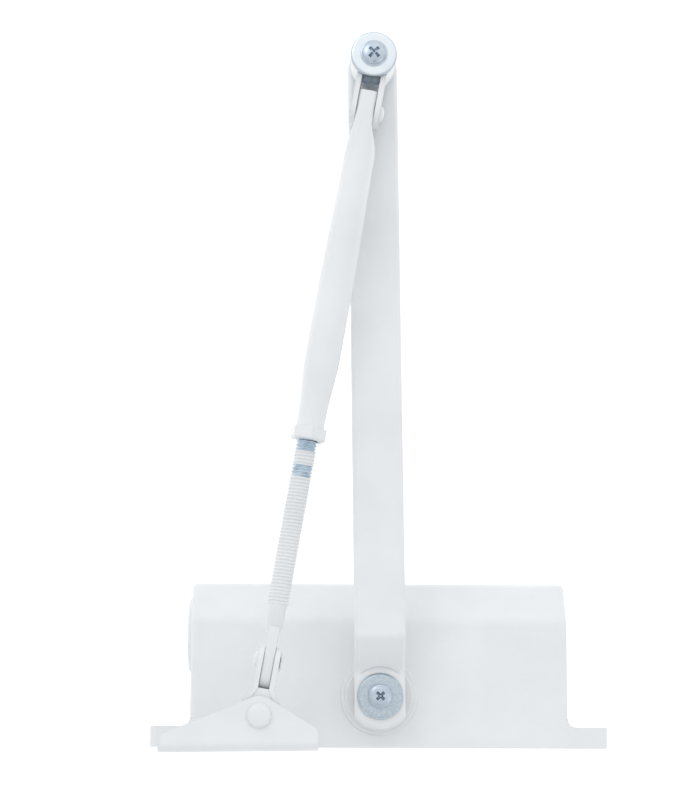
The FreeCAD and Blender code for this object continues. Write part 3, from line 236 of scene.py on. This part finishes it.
def zinc_with_painted_rim_shade(edge, width):
    """Bright zinc with a darker ring at the edge of a round piece: painted shade on its rounded rim."""
    n = metal("zinc_bright", (0.77, 0.83, 0.875), (0.84, 0.89, 0.925), (0.30, 0.40), 1800, scale=160)
    place = n.add("ShaderNodeSeparateXYZ")
    n.link(n.place, place.inputs[0])
    x, y = place.outputs["X"], place.outputs["Y"]
    squares = n.math("ADD", n.math("MULTIPLY", x, x), n.math("MULTIPLY", y, y))
    out = n.math("DIVIDE", n.math("POWER", squares, 0.5), edge * MM)
    rim = n.ramp(out, 1 - width / edge, 1, (0, 0, 0), (1, 1, 1))
    face = n.shader.inputs["Base Color"].links[0].from_socket
    # Painted shade: a darker zinc colour laid on the washer's outer ring, where its rounded rim looks
    # dark.
    painted_light = n.mottle(500, 2, (0.36, 0.43, 0.49), (0.46, 0.53, 0.59))
    n.link(n.mix(rim, face, painted_light), n.shader.inputs["Base Color"])
    return n


# How wide the painted shade at the washer's edge is (millimetres).
PAINTED_RIM_SHADE_WIDTH = 0.8
BRIGHT_ZINC = zinc_with_painted_rim_shade(ELBOW_WASHER_RADIUS, PAINTED_RIM_SHADE_WIDTH)
SPECKLED_ZINC = metal("zinc_speckled", (0.43, 0.50, 0.56), (0.61, 0.68, 0.735), (0.30, 0.46), 2200,
                      scale=1500)
SCREW_ZINC = metal("zinc_screw", (0.47, 0.54, 0.62), (0.60, 0.67, 0.74), (0.26, 0.36), 1800, scale=300)
# The bush's zinc is rough. Its colour is lightened as painted light so that it reads lit in the shaded
# gap under the elbow washer.
ROUGH_ZINC_PAINTED_LIGHT = metal("zinc_dull", (0.66, 0.74, 0.82), (0.78, 0.85, 0.91), (0.42, 0.55), 1400, scale=300)
ROD_PAINT = banded_paint()


def paint_nodes():
    """Give every CAD node the material of its slot."""
    for entry in frame["record"]["subparts"]:
        node = frame["nodes"][entry["node"]]
        node.data.materials.clear()
        node.data.materials.append(MATERIALS[entry["material_slot"]].material)


paint_nodes()


# ---------------------------------------------------------------- return spring


def compress_spring():
    """Give the return spring a mesh of its own."""
    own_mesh(frame["nodes"]["return_spring"])


compress_spring()


# ---------------------------------------------------------------- mesh tools


def finish_piece(mesh, name, material, node, sharp=TURNED_SHARP):
    """Turn a bmesh in metres into a piece that stands for a CAD node."""
    bmesh.ops.recalc_face_normals(mesh, faces=mesh.faces)
    data = bpy.data.meshes.new(name)
    mesh.to_mesh(data)
    mesh.free()
    data.materials.append(material.material)
    data.shade_smooth()
    data.set_sharp_from_angle(angle=sharp)
    piece = bpy.data.objects.new(name, data)
    bpy.context.scene.collection.objects.link(piece)
    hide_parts(node)
    return piece


def soften(points, steps=6):
    """Round the corners of a closed outline whose points are (radius, level, rounding)."""
    share = 0.48                                # of a side, so that two roundings never meet
    rounded = []
    count = len(points)
    for i, (r, z, rounding) in enumerate(points):
        here = Vector((r, z))
        if not rounding:
            rounded.append(here)
            continue
        before = Vector(points[i - 1][:2]) - here
        after = Vector(points[(i + 1) % count][:2]) - here
        reach = min(rounding, before.length * share, after.length * share)
        start, end = here + before.normalized() * reach, here + after.normalized() * reach
        for k in range(steps + 1):
            t = k / steps
            rounded.append(start * (1 - t) ** 2 + here * 2 * t * (1 - t) + end * t ** 2)
    return rounded


def turned_ring(mesh, r, z, segments):
    """One ring of vertices at a radius and level, or a single vertex on the axis."""
    if r < 1e-6:
        return [mesh.verts.new((0, 0, z * MM))]
    angles = [2 * math.pi * i / segments for i in range(segments)]
    return [mesh.verts.new((r * math.cos(a) * MM, r * math.sin(a) * MM, z * MM)) for a in angles]


def lathe(outline, segments=96):
    """A ring or disc turned about Z from a closed outline of (radius, level) in millimetres."""
    mesh = bmesh.new()
    rings = [turned_ring(mesh, r, z, segments) for r, z in outline]
    for first, second in zip(rings, rings[1:] + rings[:1]):
        if len(first) == 1 and len(second) == 1:
            continue
        for i in range(segments):
            j = (i + 1) % segments
            corners = [first[i % len(first)], first[j % len(first)]]
            corners += [second[j % len(second)], second[i % len(second)]]
            mesh.faces.new(list(dict.fromkeys(corners)))
    return mesh


def make_tool(mesh):
    """A cutting tool from a bmesh."""
    bmesh.ops.recalc_face_normals(mesh, faces=mesh.faces)
    data = bpy.data.meshes.new("tool")
    mesh.to_mesh(data)
    mesh.free()
    tool = bpy.data.objects.new("tool", data)
    bpy.context.scene.collection.objects.link(tool)
    return tool


def cut(piece, tool):
    """Take a tool's shape out of a piece, and drop the tool."""
    modifier = piece.modifiers.new("cut", "BOOLEAN")
    modifier.operation, modifier.solver, modifier.object = "DIFFERENCE", "EXACT", tool
    graph = bpy.context.evaluated_depsgraph_get()
    data = bpy.data.meshes.new_from_object(piece.evaluated_get(graph))
    piece.modifiers.clear()
    piece.data = data
    data.shade_smooth()
    data.set_sharp_from_angle(angle=CUT_SHARP)
    bpy.data.objects.remove(tool)


def cross_tool(top, span, wide, deep, turn):
    """A cross recess as a plug about Z that narrows from above the head to its own depth."""
    mesh = bmesh.new()
    a, b = span / 2, wide / 2
    outline = [(a, -b), (a, b), (b, b), (b, a), (-b, a), (-b, b)]
    outline += [(-x, -y) for x, y in outline]
    tapers = ((top + 0.5, 1.0), (top - deep * 0.15, 0.96), (top - deep * 0.7, 0.62), (top - deep, 0.2))
    spin = Matrix.Rotation(turn, 3, "Z")
    levels = []
    for level, scale in tapers:
        corners = [Vector((x * scale, y * scale, level)) for x, y in outline]
        levels.append([mesh.verts.new(spin @ corner * MM) for corner in corners])
    mesh.faces.new(levels[0])
    mesh.faces.new(levels[-1])
    for upper, lower in zip(levels, levels[1:]):
        for i in range(len(upper)):
            j = (i + 1) % len(upper)
            mesh.faces.new((upper[i], upper[j], lower[j], lower[i]))
    return make_tool(mesh)


def dimple_tool(x, y, z, radius):
    """A small ball that leaves a punch mark."""
    mesh = bmesh.new()
    bmesh.ops.create_icosphere(mesh, subdivisions=3, radius=radius * MM)
    bmesh.ops.translate(mesh, verts=mesh.verts, vec=Vector((x, y, z)) * MM)
    return make_tool(mesh)


def settle(piece, at):
    """Put a turned piece on its axis and let it ride with the spindle and its arm."""
    piece.location = at * MM
    bpy.context.view_layer.update()
    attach(piece, "spindle")


# ---------------------------------------------------------------- screws, washers, bush


def make_turned(name, node, points, at, material):
    """A turned piece from an outline of (radius, level, rounding) points."""
    piece = finish_piece(lathe(soften(points)), name, material, node)
    settle(piece, at)


CHAMFER_WIDE, CHAMFER_DEEP = 0.8, 0.9
make_turned("spindle_washer_detail", "spindle_washer",
            [(WASHER_BORE, ARM_FACE, 0), (SPINDLE_WASHER_RADIUS, ARM_FACE, 0.2),
             (SPINDLE_WASHER_RADIUS, SPINDLE_SEAT - CHAMFER_DEEP, 0.3),
             (SPINDLE_WASHER_RADIUS - CHAMFER_WIDE, SPINDLE_SEAT, 0.3),
             (WASHER_BORE, SPINDLE_SEAT, 0)], SPINDLE, SPECKLED_ZINC)
make_turned("elbow_washer_detail", "elbow_washer",
            [(WASHER_BORE, BUSH_TOP, 0), (ELBOW_WASHER_RADIUS, BUSH_TOP, 0.3),
             (ELBOW_WASHER_RADIUS, ELBOW_SEAT, 1.1), (WASHER_BORE, ELBOW_SEAT, 0)], ELBOW, BRIGHT_ZINC)
make_turned("elbow_bush_detail", "elbow_bush",
            [(SCREW_RADIUS, BUSH_FOOT, 0), (BUSH_FLANGE, BUSH_FOOT, 0.25), (BUSH_FLANGE, BUSH_STEP, 0.4),
             (BUSH_RADIUS, BUSH_STEP, 0.3), (BUSH_RADIUS, BUSH_TOP, 0.2), (SCREW_RADIUS, BUSH_TOP, 0)],
            ELBOW, ROUGH_ZINC_PAINTED_LIGHT)


def dome(radius, low, high, steps=14):
    """The curve of a rounded head from its rim to its middle."""
    curve = []
    for k in range(steps + 1):
        a = math.pi / 2 * k / steps
        across = radius * math.cos(a) if k < steps else 0
        curve.append(Vector((across, low + (high - low) * math.sin(a))))
    return curve


def head_side(radius, seat, corners):
    """The side of a head: each corner is how far in from its radius and how far above its seat."""
    return [Vector((radius - inward, seat + up)) for inward, up in corners]


def make_screw(name, node, at, foot, head, tools):
    """A screw with a rounded head and the marks cut into it."""
    shank = [Vector((0, foot)), Vector((SCREW_RADIUS, foot)), Vector((SCREW_RADIUS, head[0].y))]
    piece = finish_piece(lathe(shank + head), name, SCREW_ZINC, node, CUT_SHARP)
    for tool in tools:
        cut(piece, tool)
    settle(piece, at)


QUARTER = math.radians(45)


def make_spindle_screw():
    """The pan head screw that holds the arm on the spindle."""
    radius, foot, height = 4.4, 15.8, 3.5
    top = SPINDLE_SEAT + height
    side = head_side(radius, SPINDLE_SEAT, ((0, 0), (0, 2.2), (0.15, 2.6), (0.6, 2.9)))
    crown = dome(radius - 0.9, SPINDLE_SEAT + 3.0, top)
    recess = cross_tool(top, span=3.9, wide=1.1, deep=2.4, turn=QUARTER)
    make_screw("spindle_screw_detail", "spindle_screw", SPINDLE, foot, side + crown, [recess])


def make_elbow_screw():
    """The elbow's screw: a thin collar under a round head, with a cross and a punch mark."""
    collar, inset, foot, height = 5.1, 0.6, 35, 2.1
    top = ELBOW_SEAT + height
    side = head_side(collar, ELBOW_SEAT, ((0, 0), (0, 0.3), (0.15, 0.45), (inset, 0.5)))
    crown = dome(collar - inset, ELBOW_SEAT + 0.6, top)
    recess = cross_tool(top, span=5.2, wide=1.3, deep=2.1, turn=QUARTER)
    mark = dimple_tool(-0.1, 3.5, ELBOW_SEAT + 1.6, radius=0.45)
    make_screw("elbow_screw_detail", "elbow_screw", ELBOW, foot, side + crown, [recess, mark])


make_spindle_screw()
make_elbow_screw()


# ---------------------------------------------------------------- threaded rod


PITCH, CREST, BARE_ROOT, PAINTED_ROOT = 1.25, 3.98, 3.34, 3.58
THREAD_START, THREAD_END, LEAD_IN, FADE_OUT = 100.4, 209.0, 1.5, 1.2
# How much of the wave a bare thread clips flat at its root and crest, and how far paint widens a crest.
FLANK_REST, PAINT_SWELL = 0.12, 1.7
NECK, RUN_OUT, TAPER_START, NECK_END = 3.35, 0.4, 217.0, 219.2
FLAT_START, FLAT_END, FLAT_SHIFT = 216.6, 238.9, 0.6
FLAT_THICK, FLAT_TALL, FLAT_CORNER, FLAT_EDGE = 3.8, 11.4, 4.5, 0.3


def bareness(x):
    """1 inside a bare band, 0 outside, with a short slope between."""
    slope = 0.3
    return max(min(1, max(0, (x - low) / slope + 0.5), max(0, (high - x) / slope + 0.5))
               for low, high in BARE_BANDS)


def thread_radius(x, angle):
    """The thread's radius: sharp where it is bare, filled by the coat elsewhere, faded at the ends."""
    phase = (x / PITCH - angle / (2 * math.pi)) % 1.0
    wave = 0.5 + 0.5 * math.cos(2 * math.pi * phase)
    bare = bareness(x)
    sharp = min(1.0, max(0.0, (wave - FLANK_REST) / (1 - 2 * FLANK_REST)))
    flank = bare * sharp + (1 - bare) * min(1.0, wave * PAINT_SWELL)
    root = bare * BARE_ROOT + (1 - bare) * PAINTED_ROOT
    fade = min(1.0, max(0.0, (THREAD_END - x) / FADE_OUT))
    lead = min(1.0, max(0.0, (x - THREAD_START) / LEAD_IN))
    return root + (CREST - root) * flank * fade * lead


def rod_round():
    """The rod's round length, threaded and then plain, tapering to its flat."""
    mesh = bmesh.new()
    segments, step = 48, PITCH / 10
    count = int((THREAD_END - THREAD_START) / step)
    rows = [(THREAD_START + step * i, None) for i in range(count)]
    rows += [(THREAD_END + RUN_OUT, NECK), (TAPER_START, NECK), (NECK_END, FLAT_THICK / 2)]
    rings = []
    for x, radius in rows:
        ring = []
        for i in range(segments):
            a = 2 * math.pi * i / segments
            r = radius or thread_radius(x, a)
            ring.append(mesh.verts.new(Vector((x, r * math.cos(a), r * math.sin(a))) * MM))
        rings.append(ring)
    mesh.faces.new(rings[0])
    mesh.faces.new(rings[-1])
    for first, second in zip(rings, rings[1:]):
        for i in range(segments):
            j = (i + 1) % segments
            mesh.faces.new((first[i], first[j], second[j], second[i]))
    return mesh


def rod_flat():
    """The rod's flattened end, with its far corners rounded and its edges softened."""
    flat = bmesh.new()
    bmesh.ops.create_cube(flat, size=1)
    size = Vector((FLAT_END - FLAT_START, FLAT_THICK, FLAT_TALL)) * MM
    middle = Vector(((FLAT_END + FLAT_START) / 2, FLAT_SHIFT, 0)) * MM
    shape = Matrix.Translation(middle) @ Matrix.Diagonal((*size, 1))
    bmesh.ops.transform(flat, verts=flat.verts, matrix=shape)
    across = [e for e in flat.edges if abs((e.verts[0].co - e.verts[1].co).y) > MM]
    corners = [e for e in across if e.verts[0].co.x > middle.x]
    bmesh.ops.bevel(flat, geom=corners, offset=FLAT_CORNER * MM, segments=12, affect="EDGES", profile=0.5)
    rim = [e for e in flat.edges if e.calc_face_angle(0) > TURNED_SHARP]
    bmesh.ops.bevel(flat, geom=rim, offset=FLAT_EDGE * MM, segments=3, affect="EDGES", profile=0.5)
    data = bpy.data.meshes.new("flat")
    flat.to_mesh(data)
    flat.free()
    return data


def make_rod():
    """The whole rod, from its thread to its flat end."""
    mesh = rod_round()
    mesh.from_mesh(rod_flat())
    piece = finish_piece(mesh, "threaded_rod_detail", ROD_PAINT, "threaded_rod", CUT_SHARP)
    spin = Matrix.Rotation(math.pi / 2 - FOREARM_LEAN, 4, "Z")
    across = spin @ Vector((0, ROD_SHIFT, ROD_HIGH))
    piece.matrix_world = Matrix.Translation((ELBOW + across) * MM) @ spin
    bpy.context.view_layer.update()
    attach(piece, "threaded_rod")


make_rod()


# ---------------------------------------------------------------- studio


def make_floor():
    """A plain pale floor just under the part, glowing a little so that it stays white."""
    gap, glow = 0.0002, 0.32
    mesh = bmesh.new()
    bmesh.ops.create_grid(mesh, x_segments=1, y_segments=1, size=4)
    data = bpy.data.meshes.new("floor")
    mesh.to_mesh(data)
    mesh.free()
    floor = bpy.data.objects.new("floor", data)
    floor.location = (0, 0, cad_box[0].z - gap)
    bpy.context.scene.collection.objects.link(floor)
    n = Nodes("floor")
    pale = n.mottle(3, 2, (0.93, 0.93, 0.93), (0.95, 0.95, 0.95))
    n.link(pale, n.shader.inputs["Base Color"])
    n.shader.inputs["Roughness"].default_value = 0.9
    n.shader.inputs["Emission Color"].default_value = (1, 1, 1, 1)
    n.shader.inputs["Emission Strength"].default_value = glow
    data.materials.append(n.material)


def add_light(name, place, aim, size, power):
    """A round soft light aimed at a point."""
    data = bpy.data.lights.new(name, "AREA")
    data.shape, data.size, data.energy = "DISK", size, power
    light = bpy.data.objects.new(name, data)
    light.location = place
    light.rotation_mode = "QUATERNION"
    light.rotation_quaternion = (Vector(aim) - Vector(place)).to_track_quat("-Z", "Y")
    bpy.context.scene.collection.objects.link(light)


def make_world(levels, slant):
    """A light tent: each level is a height of the sky and its strength, and slant favours -Y."""
    world = bpy.data.worlds.new("studio")
    bpy.context.scene.world = world
    world.use_nodes = True
    tree = world.node_tree
    direction = tree.nodes.new("ShaderNodeTexCoord")
    split = tree.nodes.new("ShaderNodeSeparateXYZ")
    tree.links.new(direction.outputs["Generated"], split.inputs[0])
    sky = tree.nodes.new("ShaderNodeValToRGB")
    sky.color_ramp.elements.new(levels[1][0])
    for stop, (height, strength) in zip(sky.color_ramp.elements, levels):
        stop.position = height
        stop.color = (strength, strength, strength, 1)
    tree.links.new(split.outputs["Z"], sky.inputs["Fac"])
    lean = tree.nodes.new("ShaderNodeMapRange")
    lean.inputs["From Min"].default_value = -1
    lean.inputs["To Min"].default_value = 1 + slant
    lean.inputs["To Max"].default_value = 1 - slant
    tree.links.new(split.outputs["Y"], lean.inputs["Value"])
    strength = tree.nodes.new("ShaderNodeMath")
    strength.operation = "MULTIPLY"
    tree.links.new(sky.outputs["Color"], strength.inputs[0])
    tree.links.new(lean.outputs["Result"], strength.inputs[1])
    tree.links.new(strength.outputs[0], tree.nodes["Background"].inputs["Strength"])
    tree.nodes["Background"].inputs["Color"].default_value = (0.975, 0.988, 1.0, 1)


def add_camera():
    """The camera, at the angle from which the closer is shown."""
    data = bpy.data.cameras.new("camera")
    data.sensor_width = 36
    data.lens = 95.27
    data.shift_x, data.shift_y = 0.0084, 0.0066
    data.clip_start, data.clip_end = 0.05, 20
    camera = bpy.data.objects.new("camera", data)
    camera.location = (0.0269, -0.0051, 0.8222)
    camera.rotation_euler = [math.radians(angle) for angle in (8.818, -0.962, -179.743)]
    bpy.context.scene.collection.objects.link(camera)
    bpy.context.scene.camera = camera


make_floor()
MIDDLE = (0, -0.12, 0.02)
add_light("key", (0.55, -0.75, 0.75), MIDDLE, 0.6, 0.9)
add_light("fill", (-0.7, 0.25, 0.7), MIDDLE, 0.6, 0.3)
make_world(((0, 0.52), (0.35, 0.98), (1, 0.95)), 0.20)
bpy.context.scene.view_settings.view_transform = "Standard"
add_camera()
